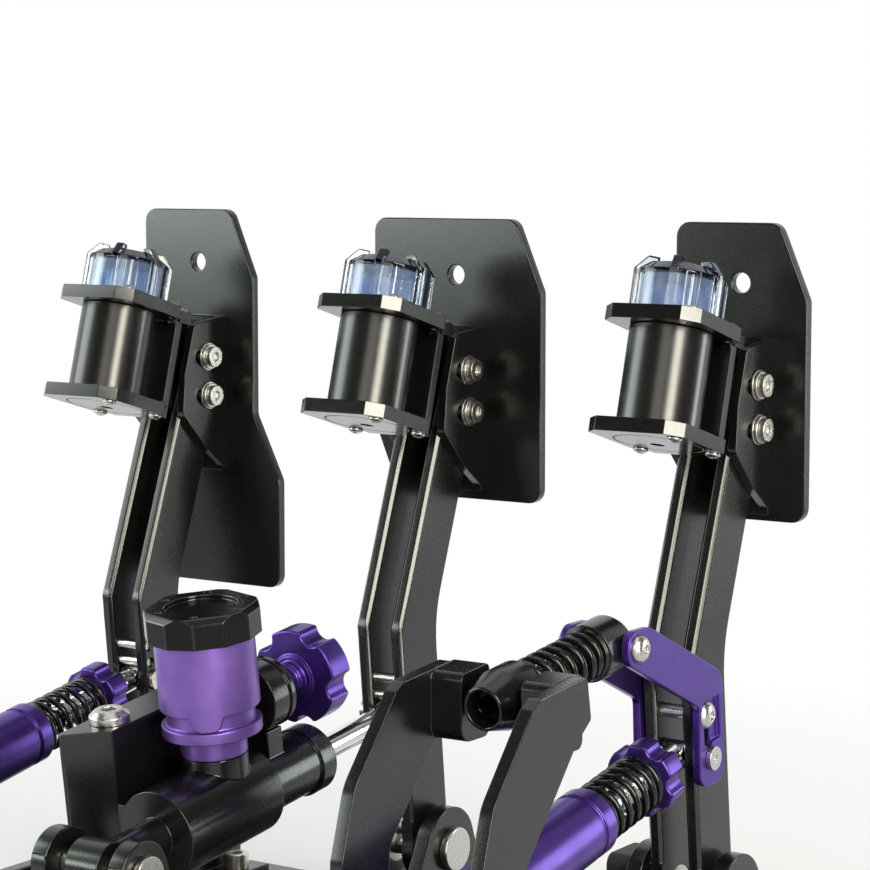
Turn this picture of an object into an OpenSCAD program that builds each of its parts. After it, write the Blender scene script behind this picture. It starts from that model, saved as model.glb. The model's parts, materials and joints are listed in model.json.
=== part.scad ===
// Sim racing pedal set: throttle, brake and clutch pedals on one base plate.
// Lengths are millimetres. X runs to the driver's right, Y away from the driver, Z up.
// The origin is the middle of the base plate's underside.
// Each pedal is drawn in its own frame: x from its middle, y from its pivot axis, z from the floor.

/* [Base] */
// width of the base plate
base_w = 324; // [320:1:360]
// depth of the base plate, front to back
base_d = 234; // [232:1:280]
// thickness of the base plate
base_t = 6; // [4:0.5:9]
// rounding of the base plate's corners
base_r = 10; // [4:1:14]
// distance of the pivot axes behind the front edge
pivot_from_front = 48; // [46:1:50]
// distance of the corner holes from the plate's left and right edges
mount_edge_x = 14; // [11:1:16]
// distance of the corner holes from the plate's front and rear edges
mount_edge_y = 11; // [9:0.5:12]
// diameter of the corner holes
mount_hole_d = 8.5; // [6.5:0.5:10.5]
// length of the long slots between the pedals
slot_l = 40; // [24:1:46]
// distance from the brake's middle to the throttle's
throttle_out = 119.6; // [114:0.2:122]
// distance from the brake's middle to the clutch's
clutch_out = 116.2; // [112:0.2:118]

/* [Side plates] */
// clear space between a pair of side plates
side_gap = 25; // [25:0.5:27]
// thickness of a side plate
side_t = 6; // [4.5:0.5:7]
// height of a side plate's long rail
rail_h = 18; // [14:1:22]
// width of a side plate's foot
foot_w = 14; // [12:1:15]
// thickness of a side plate's foot
foot_t = 6; // [4:0.5:8]
// length of a side plate's foot
foot_l = 150; // [130:1:155]
// radius of the pivot boss on a side plate
pivot_boss_r = 15; // [13:0.5:17]
// radius of the rear boss on a side plate
rear_boss_r = 11; // [9:0.5:12]

/* [Pedal arms] */
// height of the pivot axes above the floor
pivot_z = 40; // [38:1:42]
// thickness of an arm plate
arm_t = 5; // [4:0.25:5.5]
// space between the two arm plates
arm_gap = 9.5; // [9.5:0.25:10.5]
// depth of the arm below the bend
arm_low_d = 22; // [20:0.5:24]
// depth of the arm above the bend
arm_up_d = 20; // [18:0.5:22]
// lean of the lower arm away from the driver, degrees
arm_low_lean = 6; // [4:0.5:8]
// lean of the upper arm towards the driver, degrees
arm_up_lean = 20; // [18:0.5:22]
// height of the bend above the pivot
bend_h = 82; // [78:1:86]
// height of the arm's top above the pivot
arm_top_h = 178; // [175:1:182]
// radius of the arm round its pivot
arm_boss_r = 12; // [11:0.5:13]
// size of the cut along the arm's rear edges
arm_cut = 1.2; // [0.6:0.2:1.6]
// diameter of the pivot axle
axle_d = 10; // [8:0.5:11]
// outer diameter of the pivot bearing
bearing_d = 16; // [14:0.5:17]

/* [Foot plates] */
// distance of the foot plates' rear face in front of the pivot axis
plate_y = 30.5; // [30:0.5:33]
// thickness of a foot plate
plate_t = 4; // [3:0.5:5]
// rounding of a foot plate's corners
plate_r = 5; // [3:0.5:7]
// width of the cut at a foot plate's upper corner
plate_cut_w = 11; // [6:0.5:14]
// height of the cut at a foot plate's upper corner
plate_cut_h = 26; // [16:1:30]
// diameter of the hole near a foot plate's top
plate_hole_d = 7; // [5:0.5:9]
// distance of that hole below the foot plate's top
plate_hole_drop = 20.5; // [16:0.5:24]
// width of the brake foot plate
brake_plate_w = 72.6; // [66:0.2:78]
// height of the brake foot plate
brake_plate_h = 102.4; // [100:0.2:110]
// width of the clutch foot plate
clutch_plate_w = 50.2; // [44:0.2:56]
// height of the clutch foot plate
clutch_plate_h = 101.5; // [100:0.5:110]
// width of the throttle foot plate above its flare
throttle_plate_w = 53; // [46:0.5:58]
// height of the throttle foot plate
throttle_plate_h = 146; // [135:0.5:150]
// extra width of the throttle foot plate at its foot
throttle_flare = 12.3; // [6:0.1:14]
// height of a foot plate's top above the pivot
plate_top_h = 225; // [222:0.5:230]
// how far the throttle foot plate stands above the other two
throttle_rise = 2.2; // [0:0.2:4]

/* [Foot plate bracket] */
// thickness of a bracket cheek
cheek_t = 3.25; // [2.5:0.25:4]
// thickness of the bracket's back
back_t = 3; // [2:0.25:3]
// length of an adjusting slot
cheek_slot_l = 14; // [10:0.5:15]
// diameter of the bracket bolts
bolt_d = 5; // [4:0.5:5]

/* [Vibration motor] */
// width of the motor bracket's plates
mb_w = 35.5; // [34:0.5:39]
// distance from the bracket's rear face to its shoulder
mb_d = 33; // [32:0.5:35]
// thickness of the bracket's plates
mb_t = 4.8; // [3.5:0.1:5.5]
// clear height between the bracket's plates
mb_gap = 32.4; // [30:0.1:35]
// corner cut of the bracket's plates
mb_cut = 5.1; // [4:0.1:6]
// lean of the motor towards the driver, degrees
mb_lean = 15.8; // [13:0.2:18]
// distance of the bracket's shoulder behind the pivot axis
mb_y = 14; // [13:0.5:16]
// height of the bracket's underside above the pivot
mb_h = 151; // [148:0.5:153]
// diameter of the motor
can_d = 27.5; // [26:0.5:30]
// diameter of the clear cover's wall
cover_d = 30; // [28.5:0.5:30.5]
// height of the clear cover's wall
cover_h = 13.4; // [10.8:0.2:14]
// wall of the clear cover
cover_wall = 1.8; // [1.2:0.1:2.2]
// radius of the turning weight
weight_r = 10.5; // [8:0.5:11]
// diameter of the motor's shaft
shaft_d = 3.2; // [2:0.2:4]

/* [Spring dampers] */
// distance of the rod pin behind the pivot axis
rod_pin_y = 11; // [10:0.5:12]
// height of the rod pin above the pivot
rod_pin_h = 49.3; // [47:0.1:52]
// diameter of the rod pin
rod_pin_d = 5; // [4:0.5:5.5]
// diameter of a piston rod
rod_d = 8.8; // [7:0.2:8.8]
// distance of the damper's rear pivot behind the pivot axis
damper_end_y = 158.5; // [156:0.5:162]
// height of the damper's rear pivot above the floor
damper_end_z = 61.9; // [60:0.1:66]
// diameter of the damper body
damper_d = 22.5; // [20:0.5:23]
// distance of the damper's mouth from the rod pin
damper_mouth = 59.6; // [58:0.2:64]
// length of the damper body
damper_l = 76; // [70:1:78]
// diameter of the rear pivot pins
rear_pin_d = 8; // [6:0.5:9]
// outer diameter of a damper spring
spring_d = 20; // [18.5:0.5:21]
// wire of a damper spring
spring_wire = 2.3; // [1.8:0.1:2.5]
// turns of a damper spring
spring_turns = 7; // [5:0.5:7.5]
// diameter of the preload knob
knob_d = 25; // [23:0.5:28]
// thickness of the preload knob
knob_t = 9; // [7:0.5:10]
// distance of the preload knob from the rod pin
knob_at = 17.2; // [16:0.2:18]
// lobes of the preload knob
knob_lobes = 6; // [5:1:8]

/* [Brake cylinder] */
// distance of the cylinder's rear pivot behind the pivot axis
master_end_y = 169.6; // [168:0.2:173]
// height of the cylinder's rear pivot above the floor
master_end_z = 68.4; // [66:0.2:72]
// diameter of the master cylinder's body
master_d = 30; // [28:0.5:31]
// diameter of the master cylinder's gland
gland_d = 24; // [23:0.5:25]
// distance of the gland's mouth from the rod pin
gland_at = 50; // [46:0.5:52]
// distance of the body's front from the rod pin
master_at = 84; // [83:0.5:86]
// length of the master cylinder's body
master_l = 48; // [47:0.5:51]
// distance between the two cylinders' axes
slave_up = 29.6; // [29.4:0.1:32]
// diameter of the slave cylinder
slave_d = 24; // [22:0.2:25]
// distance of the slave cylinder's front from the rod pin
slave_at = 69; // [68:0.5:70]
// length of the slave cylinder
slave_l = 12; // [11:0.5:13]
// diameter of the star knob
star_d = 33; // [28:0.5:34]
// thickness of the star knob
star_t = 10.5; // [8:0.5:12]
// lobes of the star knob
star_lobes = 5; // [5:1:8]
// distance of the reservoir's axis from the rod pin
res_at = 99.5; // [99.5:0.5:101]
// diameter of the reservoir
res_d = 33; // [30:0.5:35.5]
// height of the reservoir's foot above the cylinder's axis
res_up = 25.2; // [24:0.2:27]
// height of the reservoir's body
res_h = 32.5; // [29:0.1:35]
// width of the reservoir's cap
cap_d = 38.4; // [36:0.2:42]
// height of the reservoir's cap
cap_h = 10; // [8:0.5:12]
// distance of the manifold's inner side from the cylinder's axis
man_x = 19; // [18.5:0.5:20]
// width of the manifold
man_w = 15; // [13:0.5:18]
// height of the manifold's top above the cylinder's axis
man_up = 31.3; // [29.5:0.1:33]

/* [Clutch assist] */
// distance of the lever's eye behind the pivot axis
eye_y = 60; // [58:0.5:62]
// height of the lever's eye above the floor
eye_z = 133.4; // [131:0.2:136]
// thickness of a lever
lever_t = 3; // [2.5:0.25:4]
// reach of the lever behind its eye
eye_r = 6.5; // [6:0.5:8]
// distance of the tube's pivot behind the pivot axis
tube_y = 118.3; // [117.5:0.1:121]
// height of the tube's pivot above the floor
tube_z = 126.4; // [125:0.2:128]
// largest diameter of the tube
tube_d = 19.2; // [16:0.2:19.4]
// diameter of the tube's rear end
tube_end_d = 13.4; // [13:0.2:15]
// diameter of the plunger's rod
plunger_d = 7; // [5:0.5:7]
// outer diameter of the assist spring
assist_d = 16.5; // [15:0.5:18.5]
// wire of the assist spring
assist_wire = 2.4; // [1.8:0.1:2.5]
// turns of the assist spring
assist_turns = 7.5; // [6:0.5:8]
// distance between the outer faces of the two towers
tower_span = 52; // [51:0.5:54]
// thickness of a tower plate
tower_t = 4.5; // [3.5:0.25:5]
// diameter of the tube's pivot studs
stud_d = 6; // [5:0.5:7]

/* [Electronics] */
// width of the control box
box_w = 42; // [34:1:46]
// length of the control box
box_l = 80; // [60:1:90]
// height of the control box
box_h = 26; // [20:1:32]

/* [Clearances] */
// radial clearance of a turning fit
turn_fit = 0.08; // [0.05:0.01:0.1]
// clearance round a screw
screw_fit = 0.1; // [0.05:0.05:0.2]
// radial clearance of a rod in its cylinder
slide_fit = 0.65; // [0.6:0.05:0.8]
// radial clearance of the plunger in the assist tube
plunger_fit = 1.6; // [1.5:0.05:1.7]
// end play of a turning piece
end_play = 0.4; // [0.3:0.05:0.6]

/* [Hidden] */
$fn = 48;
black = [0.09, 0.09, 0.10];
satin = [0.14, 0.14, 0.15];
purple = [0.36, 0.25, 0.62];
steel = [0.78, 0.78, 0.80];
chrome = [0.86, 0.87, 0.89];
gloss = [0.05, 0.05, 0.06];
clear_blue = [0.35, 0.55, 0.95, 0.45];
throttle_x = throttle_out;
clutch_x = -clutch_out;
pivot_y = pivot_from_front - base_d / 2;
mount_dx = base_w - 2 * mount_edge_x;
mount_dy = base_d - 2 * mount_edge_y;
slot_dy = mount_dy - 2;
through = base_t + foot_t + 2;
arm_x = arm_gap / 2;
arm_out = arm_gap / 2 + arm_t;
cheek_out = arm_out + cheek_t;
side_in = side_gap / 2;
side_out = side_gap / 2 + side_t;
bearing_flange = 1.5;
rod_pin_z = pivot_z + rod_pin_h;
// slope of each rod below level, degrees
damper_a = atan2(rod_pin_z - damper_end_z, damper_end_y - rod_pin_y);
damper_len = norm([damper_end_y - rod_pin_y, damper_end_z - rod_pin_z]);
master_a = atan2(rod_pin_z - master_end_z, master_end_y - rod_pin_y);
master_len = norm([master_end_y - rod_pin_y, master_end_z - rod_pin_z]);
assist_a = atan2(eye_z - tube_z, tube_y - eye_y);
assist_len = norm([tube_y - eye_y, tube_z - eye_z]);
// foot plate bracket bolts, y and height above the pivot
bolts = [[-18.5, 171], [-19, 156]];
plate_screws = [162, 176];
arm_dowels = [[14.2, pivot_z + 62.6], [13.4, pivot_z + 56.2]];
dowel_d = 3.6;
dowel_in = 1.2;
pin_head = 1.8;
// bracket bolts' heads and washers, and the clutch's button heads: diameter and height
bolt_head = [7.8, 2];
bolt_washer = [10.6, 2.2];
button = [9.5, 3];
// motor bracket, in its own leaning frame
mb_top = mb_t + mb_gap;
mb_all = mb_top + mb_t;
web_r = 2.8;
// back and front of the wall between its plates
mb_wall = [-mb_cut - 3, 0.5 - mb_cut];
can_y = mb_d - mb_w / 2 - 0.75;
ring_d = 30;
cable_hole = [1.6, can_y - 4.4];
tab_w = mb_w - 2 * mb_cut;
tab_l = 13.2;
tab_screws = [[tab_w / 2 - 3.2, -10], [3.2 - tab_w / 2, -10]];
small_head_d = 5.2;
// clear cover: its place, sloping shoulder, ribs, and flutes beside two of the three corner screws
cover_y = can_y - 1.4;
cover_in_r = cover_d / 2 - cover_wall;
shoulder_h = 3;
shoulder_w = 4.2;
rib_w = 2.8;
rib_out = 1.3;
rib_turn = 50;
flute_r = 2.9;
flute_at = cover_d / 2 + flute_r - 0.58 * cover_wall;
corner = (cover_d / 2 + rib_out + small_head_d / 2 + 0.2) / sqrt(2);
corner_screws = [[-corner, corner], [corner, -corner], [-corner, -corner]];
weight_at = mb_all + 1.6;
weight_h = 8;
// lengths along the damper and cylinder axes, from the rod pin
knob_end = knob_at + knob_t;
spring_from = knob_end + 0.1;
spring_to = damper_mouth - 0.1;
rod_end = damper_mouth + 40;
star_gap = 14.5;
star_at = slave_at - star_gap - star_t;
star_turn = 27;
hub_d = 10;
// length of the piston rod inside the gland, its bore, and the gland's collar
piston_in = 45;
bore_l = 64;
collar_l = 7.5;
gland_step = 1;
// groove round the reservoir, broken by a tongue
res_groove = 5;
res_groove_depth = 2;
tongue_turn = 34;
man_from = 66;
man_to = 127;
pad_from = 108;
pad_to = 128;
bleed_at = 119;
// lengths along the assist axis, from the lever's eye
seat_at = 12.4;
tube_from = assist_len - 8.2;
tube_to = assist_len + 12.7;
mouth_l = 6;
lever_bolt = [13, pivot_z + 64];
// pocket round the lever's bolt: width, height, depth and middle from the bolt
lever_pocket = [11, 14.6, 1.5];
pocket_mid = [-2.3, -2.1];
tower_in = tower_span / 2 - tower_t;
stud_from = 6.9;
tower_boss = 10.4;
foot_screws = [-18, 105];
tower_screws = [151.5, 162.5];
tower_foot_y = 146;
tower_foot = [16, 22];
spacer_y = [-22, 70];
spacer_d = 10;
foot_screw_d = 6;
throttle_end = [damper_end_y, damper_end_z];
brake_end = [master_end_y, master_end_z];

// Helpers

// a polygon's corners, each [a, b, radius], rounded with short straight runs
function unit2(v) = v / norm(v);
function turn_points(p, q, s, r) =
  let (u = unit2(p - q), v = unit2(s - q), w = acos(u * v),
       reach = r / tan(w / 2), c = q + unit2(u + v) * r / sin(w / 2),
       a0 = atan2((q + u * reach - c)[1], (q + u * reach - c)[0]),
       a1 = atan2((q + v * reach - c)[1], (q + v * reach - c)[0]),
       d = (a1 - a0 + 540) % 360 - 180)
  [for (i = [0:6]) c + r * [cos(a0 + d * i / 6), sin(a0 + d * i / 6)]];
function xy(p) = [p[0], p[1]];
function round_points(pts) = [for (i = [0:len(pts) - 1])
  let (p = xy(pts[(i + len(pts) - 1) % len(pts)]), q = xy(pts[i]), s = xy(pts[(i + 1) % len(pts)]))
  each (pts[i][2] > 0 ? turn_points(p, q, s, pts[i][2]) : [q])];
// where two lines cross, each a point and a direction
function meet(p, d, q, e) = p + d * ((q - p)[0] * e[1] - (q - p)[1] * e[0]) / (d[0] * e[1] - d[1] * e[0]);

module at_pedal(x) { translate([x, pivot_y, 0]) children(); }
// a flat shape in y and z, made solid from x0 over a thickness
module along_x(x0, t) { translate([x0, 0, 0]) rotate([90, 0, 90]) linear_extrude(height = t) children(); }
module rod_x(x0, x1, d, p) {
  translate([x0, p[0], p[1]]) rotate([0, 90, 0]) cylinder(d = d, h = x1 - x0);
}
// a frame whose z runs along a rod, with its upper side at -y
module on_rod(p, a) { translate([0, p[0], p[1]]) rotate([-90 - a, 0, 0]) children(); }
module damper_frame() { on_rod([rod_pin_y, rod_pin_z], damper_a) children(); }
module master_frame() { on_rod([rod_pin_y, rod_pin_z], master_a) children(); }
module assist_frame() { on_rod([eye_y, eye_z], assist_a) children(); }
module motor_frame() { translate([0, mb_y, pivot_z + mb_h]) rotate([mb_lean, 0, 0]) children(); }
// a cut along the straight edge from p to q on the face at x
module edge_cut(p, q, x, c) {
  translate([x, p[0], p[1]]) rotate([-atan2((q - p)[0], (q - p)[1]), 0, 0])
    translate([0, 0, norm(q - p) / 2]) rotate([0, 0, 45])
      cube([c * sqrt(2), c * sqrt(2), norm(q - p) + 4], center = true);
}
// a socket screw standing on z = 0 with its shank below
module screw(head_d, head_h, d, l) {
  difference() {
    union() {
      cylinder(d = head_d, h = head_h);
      translate([0, 0, -l]) cylinder(d = d, h = l + head_h / 2);
    }
    translate([0, 0, head_h * 0.45]) cylinder(d = head_d * 0.52, h = head_h, $fn = 6);
  }
}
// a screw whose head is a low dome, standing on z = 0 with its shank below
module dome_screw(head_d, head_h, d, l) {
  difference() {
    union() {
      for (i = [0:3]) translate([0, 0, head_h * sin(20 * i)])
        cylinder(d1 = head_d * cos(20 * i), d2 = head_d * cos(20 * (i + 1)),
          h = head_h * (sin(20 * (i + 1)) - sin(20 * i)));
      translate([0, 0, -l]) cylinder(d = d, h = l + head_h / 2);
    }
    translate([0, 0, head_h * 0.5]) cylinder(d = head_d * 0.34, h = head_h, $fn = 6);
  }
}
// a screw with its washers standing on the face at x, its shank towards the middle
module side_screw(s, x, p, head_d, head_h, d, l, washer_d, washer_h) {
  translate([s * x, p[0], p[1]]) rotate([0, s * 90, 0]) {
    if (washer_d > 0) {
      cylinder(d = washer_d, h = washer_h * 0.45);
      cylinder(d = washer_d * 0.72, h = washer_h);
      translate([0, 0, washer_h * 0.56]) cylinder(d = washer_d * 0.9, h = washer_h * 0.38);
    }
    translate([0, 0, washer_h]) screw(head_d, head_h, d, l + washer_h);
  }
}

// A coiled spring as one tube with eight rings to a turn
function coil_at(r, z0, z1, turns, i) =
  [r * cos(i * 45), r * sin(i * 45), z0 + (z1 - z0) * i / (turns * 8)];
function coil_ring(r, z0, z1, turns, w, i) =
  let (c = coil_at(r, z0, z1, turns, i), n = [cos(i * 45), sin(i * 45), 0],
       slope = (z1 - z0) / (turns * 2 * PI * r),
       b = [slope * sin(i * 45), -slope * cos(i * 45), 1] / sqrt(1 + slope * slope))
  [for (k = [0:5]) c + w / 2 * (n * cos(k * 60) + b * sin(k * 60))];
function coil_gap(r, z0, z1, turns, w) = min([for (i = [0:turns * 8 - 9], k = [5:9])
  norm(coil_at(r, z0, z1, turns, i) - coil_at(r, z0, z1, turns, min(i + k, turns * 8)))]) - w;
module coil(d, w, z_low, z_high, turns) {
  r = d / 2 - w / 2;
  z0 = z_low + w / 2;
  z1 = z_high - w / 2;
  n = turns * 8;
  polyhedron(
    points = [for (i = [0:n]) each coil_ring(r, z0, z1, turns, w, i)],
    faces = concat(
      [[5, 4, 3, 2, 1, 0]],
      [for (i = [0:n - 1], k = [0:5])
        [i * 6 + k, i * 6 + (k + 1) % 6, i * 6 + 6 + (k + 1) % 6, i * 6 + 6 + k]],
      [[for (k = [0:5]) n * 6 + k]]),
    convexity = 10);
}
echo(damper_spring_gap = coil_gap(spring_d / 2 - spring_wire / 2, spring_from + spring_wire / 2,
  spring_to - spring_wire / 2, spring_turns, spring_wire));
echo(assist_spring_gap = coil_gap(assist_d / 2 - assist_wire / 2, seat_at + assist_wire / 2,
  tube_from - assist_wire / 2, assist_turns, assist_wire));

// Base

module base_plate() {
  color(black) difference() {
    linear_extrude(height = base_t) polygon(round_points([for (s = [[-1, -1], [1, -1], [1, 1], [-1, 1]])
      [s[0] * base_w / 2, s[1] * base_d / 2, base_r]]));
    for (x = [-1, 1], y = [-1, 1])
      translate([x * mount_dx / 2, y * mount_dy / 2, -1]) cylinder(d = mount_hole_d, h = base_t + 2);
    for (x = [throttle_x / 2, clutch_x / 2], y = [-1, 1]) translate([x, y * slot_dy / 2, -1]) {
      for (s = [-1, 1]) translate([s * (slot_l - mount_hole_d) / 2, 0, 0])
        cylinder(d = mount_hole_d, h = base_t + 2);
      translate([0, 0, base_t / 2 + 1])
        cube([slot_l - mount_hole_d, mount_hole_d, base_t + 2], center = true);
    }
    for (x = [clutch_x, 0, throttle_x]) at_pedal(x) foot_holes();
    at_pedal(clutch_x) tower_holes();
  }
}
module foot_holes() {
  for (s = [-1, 1], y = foot_screws)
    translate([s * (side_out + foot_w / 2), y, -1])
      cylinder(d = foot_screw_d + 2 * screw_fit, h = through);
}
module tower_holes() {
  for (s = [-1, 1], y = tower_screws)
    translate([s * (tower_span / 2 + 8), y, -1])
      cylinder(d = foot_screw_d + 2 * screw_fit, h = through);
}
// one side plate: rail, pivot boss, rear boss and a foot
module side_plate(s, end) {
  x = s > 0 ? side_in : -side_out;
  difference() {
    union() {
      along_x(x, side_t) polygon([[-30, base_t], [-30, base_t + rail_h],
        [end[0] + rear_boss_r, base_t + rail_h], [end[0] + rear_boss_r, base_t]]);
      along_x(x, side_t) polygon([[-28, base_t + 2], [-pivot_boss_r * 0.94, pivot_z + 5],
        [pivot_boss_r * 0.94, pivot_z + 5], [34, base_t + 2]]);
      along_x(x, side_t) polygon([[end[0] - 34, base_t + 2], [end[0] - rear_boss_r * 0.94, end[1] + 4],
        [end[0] + rear_boss_r * 0.94, end[1] + 4], [end[0] + rear_boss_r, base_t + 2]]);
      rod_x(x, x + side_t, 2 * pivot_boss_r, [0, pivot_z]);
      rod_x(x, x + side_t, 2 * rear_boss_r, end);
      translate([s > 0 ? side_out - 1 : -side_out - foot_w, -30, base_t])
        cube([foot_w + 1, foot_l, foot_t]);
    }
    rod_x(x - 1, x + side_t + 1, axle_d + 2 * screw_fit, [0, pivot_z]);
    rod_x(x - 1, x + side_t + 1, rear_pin_d + 2 * screw_fit, end);
    foot_holes();
  }
}
module throttle_side_plates() {
  color(black) at_pedal(throttle_x) for (s = [-1, 1]) side_plate(s, throttle_end);
}
module brake_side_plates() {
  color(black) at_pedal(0) for (s = [-1, 1]) side_plate(s, brake_end);
}
module clutch_side_plates() {
  color(black) at_pedal(clutch_x) for (s = [-1, 1]) side_plate(s, throttle_end);
}
// a swan-necked tower with a block that carries the assist tube
module tower(s) {
  x = s > 0 ? tower_in : -tower_span / 2;
  head = [tube_y, tube_z];
  difference() {
    union() {
      along_x(x, tower_t) polygon(round_points([
        [head[0] - 6.7, head[1] - 4.8, 1.5], [head[0] - 4.3, head[1] + 8.5, 2],
        [head[0] + 21.6, head[1] + 6, 4], [head[0] + 26, head[1] + 3.5, 3],
        [head[0] + 47, head[1] - 21, 14], [172, 84, 10], [172, base_t, 0],
        [148, base_t, 0], [148, 84, 10], [head[0] + 1.5, head[1] - 10.6, 3]]));
      along_x(s > 0 ? tower_boss : -tower_in - 1, tower_in + 1 - tower_boss) polygon(round_points([
        [head[0] - 7.6, head[1] - 14.2, 3], [head[0] - 7.6, head[1] + 8.5, 2],
        [head[0] + 8, head[1] + 7, 3], [head[0] + 8, head[1] - 14.2, 5]]));
      translate([s > 0 ? tower_span / 2 - 1 : 1 - tower_span / 2 - tower_foot[0], tower_foot_y, base_t])
        cube([tower_foot[0], tower_foot[1], foot_t]);
    }
    rod_x(s > 0 ? 5 : -tower_in - 1.5, s > 0 ? tower_in + 1.5 : -5, stud_d + 2 * turn_fit, head);
    tower_holes();
  }
}
module clutch_towers() {
  color(black) at_pedal(clutch_x) for (s = [-1, 1]) tower(s);
}
// pivot axles, each with a head on one side and a nut on the brake's other side
module pivot_axles() {
  color(steel) for (x = [clutch_x, 0, throttle_x]) at_pedal(x) {
    rod_x(-side_out - 3, side_out, axle_d, [0, pivot_z]);
    rod_x(-side_out - 3, -side_out, axle_d + 6, [0, pivot_z]);
    if (x == 0) rod_x(side_out, side_out + 4, axle_d + 6, [0, pivot_z]);
  }
}
// rear pivot pins and the round spacers between the side plates
module cross_pins() {
  color(steel) for (x = [clutch_x, 0, throttle_x]) at_pedal(x) {
    end = x == 0 ? brake_end : throttle_end;
    rod_x(-side_out - 2.5, side_out + 2.5, rear_pin_d, end);
    rod_x(-side_out - 2.5, -side_out, rear_pin_d + 5, end);
    rod_x(side_out, side_out + 2.5, rear_pin_d + 5, end);
    for (y = spacer_y) rod_x(-side_in, side_in, spacer_d, [y, base_t + rail_h / 2]);
  }
}
module base_screws() {
  color(steel) {
    for (x = [clutch_x, 0, throttle_x], s = [-1, 1], y = foot_screws) at_pedal(x)
      translate([s * (side_out + foot_w / 2), y, base_t + foot_t])
        screw(10, 6, foot_screw_d, base_t + foot_t - 0.5);
    for (s = [-1, 1], y = tower_screws) at_pedal(clutch_x)
      translate([s * (tower_span / 2 + 8), y, base_t + foot_t])
        screw(10, 6, foot_screw_d, base_t + foot_t - 0.5);
  }
}
module control_box() {
  color(satin) translate([clutch_x / 2, 0, base_t]) difference() {
    linear_extrude(height = box_h) polygon(round_points([for (s = [[-1, -1], [1, -1], [1, 1], [-1, 1]])
      [s[0] * box_w / 2, s[1] * box_l / 2, 4]]));
    translate([0, box_l / 2 - 3, box_h / 2]) cube([13, 7, 7], center = true);
  }
}
// housings over the ends of the throttle and clutch axles
module angle_sensors() {
  color(satin) for (x = [clutch_x, throttle_x]) at_pedal(x)
    along_x(side_out, 9) polygon(round_points([[-11, pivot_z - 11, 4], [11, pivot_z - 11, 4],
      [11, pivot_z + 11, 4], [-11, pivot_z + 11, 4]]));
}

// Pedal arms

arm_front = -(plate_y - back_t - 0.5);
low_dir = [sin(arm_low_lean), cos(arm_low_lean)];
low_rear = [cos(arm_low_lean), -sin(arm_low_lean)] * arm_low_d / 2;
up_dir = [-sin(arm_up_lean), cos(arm_up_lean)];
up_rear = [cos(arm_up_lean), sin(arm_up_lean)] * arm_up_d / 2;
bend = [tan(arm_low_lean) * bend_h, bend_h];
pivot_up = [0, pivot_z];
rear_low = pivot_up + low_rear;
rear_bend = pivot_up + meet(bend + low_rear, low_dir, bend + up_rear, up_dir);
rear_top = pivot_up + meet(bend + up_rear, up_dir, [0, arm_top_h], [1, 0]);
front_bend = pivot_up + meet(bend - low_rear, low_dir, bend - up_rear, up_dir);
front_turn = pivot_up + meet(bend - up_rear, up_dir, [arm_front, 0], [0, 1]);
module arm_plate(s, dowels, extra) {
  x = s > 0 ? arm_x : -arm_out;
  difference() {
    union() {
      along_x(x, arm_t) polygon(round_points([
        concat(rear_low, 0), concat(rear_bend, 16), concat(rear_top, 3),
        [arm_front, pivot_z + arm_top_h, 2], concat(front_turn, 8), concat(front_bend, 46),
        concat(pivot_up - low_rear, 0)]));
      rod_x(x, x + arm_t, 2 * arm_boss_r, pivot_up);
    }
    for (e = [arm_out, arm_x]) {
      edge_cut(rear_low + low_dir * 14, rear_bend, s * e, arm_cut);
      edge_cut(rear_bend, rear_top, s * e, arm_cut);
    }
    rod_x(x - 1, x + arm_t + 1, bearing_d + 2 * screw_fit, pivot_up);
    rod_x(x - 1, x + arm_t + 1, rod_pin_d + 2 * screw_fit, [rod_pin_y, rod_pin_z]);
    for (b = dowels) rod_x(x - 1, x + arm_t + 1, dowel_d + 2 * screw_fit, b);
    for (b = bolts) rod_x(x - 1, x + arm_t + 1, bolt_d + 2 * screw_fit, b + pivot_up);
    for (b = extra) rod_x(x - 1, x + arm_t + 1, bolt_d + 2 * screw_fit, b);
  }
}
// a foot plate: left and right edges, height, a flare at the left foot, and its rise
module foot_plate(left, right, h, flare, rise) {
  top = pivot_z + plate_top_h + rise;
  low = top - h;
  foot = flare > 0 ?
    [[right, low, plate_r]] :
    [[right - plate_cut_w, low, plate_r], [right, low + plate_cut_h, plate_r]];
  edge = flare > 0 ?
    [[left, top - 79, 6], [left - flare, top - 104, 6], [left - flare, low, plate_r]] :
    [[left, low, plate_r]];
  difference() {
    translate([0, -plate_y, 0]) rotate([90, 0, 0]) linear_extrude(height = plate_t)
      polygon(round_points(concat(foot, [[right, top, plate_r], [left + plate_cut_w, top, plate_r],
        [left, top - plate_cut_h, plate_r]], edge)));
    translate([(left + right) / 2, -plate_y + 1, top - plate_hole_drop]) rotate([90, 0, 0])
      cylinder(d = plate_hole_d, h = plate_t + 2);
    for (z = plate_screws) translate([0, -plate_y - plate_t, pivot_z + z]) rotate([-90, 0, 0]) {
      translate([0, 0, -0.01])
        cylinder(d1 = bolt_d * 2 + 2 * screw_fit, d2 = bolt_d + 2 * screw_fit, h = 2.6);
      cylinder(d = bolt_d + 2 * screw_fit, h = plate_t + 1);
    }
  }
}
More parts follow.
